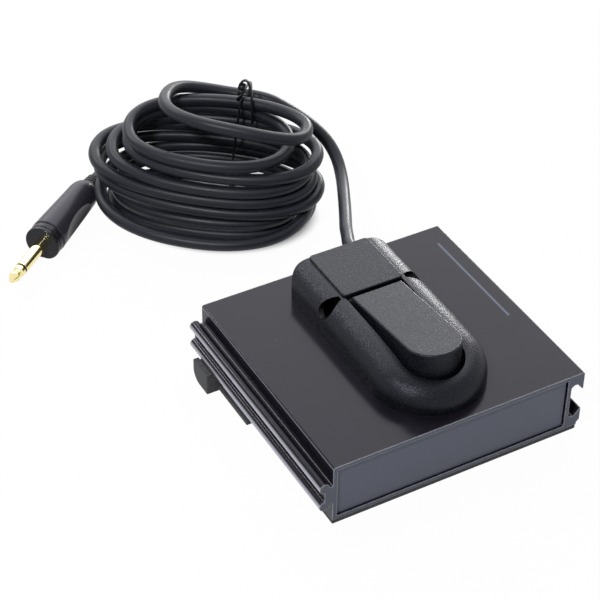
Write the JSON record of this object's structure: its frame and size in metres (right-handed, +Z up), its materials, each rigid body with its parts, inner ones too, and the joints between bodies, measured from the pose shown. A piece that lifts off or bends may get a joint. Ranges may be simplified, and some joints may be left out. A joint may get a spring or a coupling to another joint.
{
  "type": "foot pedal switch",
  "caption": "Black foot pedal switch on an extruded aluminium box whose sides link to its neighbours, with a tied coil of cord ending in a gold jack plug",
  "frame": {"origin": "centre of the rubber mat's underside", "axes": "+Z up, +X to the channel side, +Y to the side where the cord leaves"},
  "size_m": [0.1893, 0.279, 0.0696],
  "materials": {
    "anodised": "black anodised extrusion, satin",
    "end_plate": "blue-grey satin paint",
    "mat_rubber": "matt black rubber",
    "black_plastic": "fine moulded texture",
    "treadle_plastic": "fine moulded texture",
    "barrel_plastic": "satin moulding",
    "plunger_plastic": "natural nylon",
    "insulator_plastic": "black ring",
    "tie_plastic": "black plastic over wire",
    "cord_jacket": "satin black jacket",
    "wire_jacket": "insulated lead",
    "gold": "gold plate, polished",
    "collar_metal": "black satin",
    "brass": "turned",
    "terminal_metal": "tin plate",
    "steel": "zinc plate"
  },
  "bodies": {
    "base": {"profile": "anodised", "front_end_plate": "end_plate", "rear_end_plate": "end_plate", "rubber_mat": "mat_rubber", "side_block": "mat_rubber", "side_block_insert": "brass", "side_block_screw": "steel", "switch_shell": "black_plastic", "hinge_pin": "steel", "switch_base": "black_plastic", "mount_screws": "steel", "snap_case": "black_plastic", "terminal_common": "terminal_metal", "terminal_open": "terminal_metal", "terminal_closed": "terminal_metal", "return_spring": "steel", "cord_inner": "cord_jacket", "cord_bushing": "cord_jacket", "cord_clamp": "steel", "clamp_screws": "steel", "wire_common": "wire_jacket", "wire_open": "wire_jacket", "cord_lead": "cord_jacket", "cord_coil": "cord_jacket", "cord_tail": "cord_jacket", "twist_tie": "tie_plastic", "plug_tip": "gold", "plug_insulator": "insulator_plastic", "plug_sleeve": "gold", "plug_collar": "collar_metal", "plug_barrel": "barrel_plastic", "plug_boot": "cord_jacket"},
    "treadle": {"treadle": "treadle_plastic"},
    "plunger": {"snap_plunger": "plunger_plastic"}
  },
  "joints": [
    {"name": "treadle_hinge", "type": "hinge", "parent": "base", "child": "treadle", "pos_m": [0.0017, 0.018, 0.046], "axis": [1, 0, 0], "range_deg": [0, 6], "stiffness_Nm_per_rad": 1.5, "springref_deg": -5.73, "deforming": ["return_spring"]},
    {"name": "plunger_slide", "type": "slide", "parent": "base", "child": "plunger", "axis": [0, 0, -1], "range_m": [0, 0.0013]}
  ],
  "couplings": [
    {"joint": "plunger_slide", "follows": "treadle_hinge", "m_per_rad": 0.012}
  ]
}
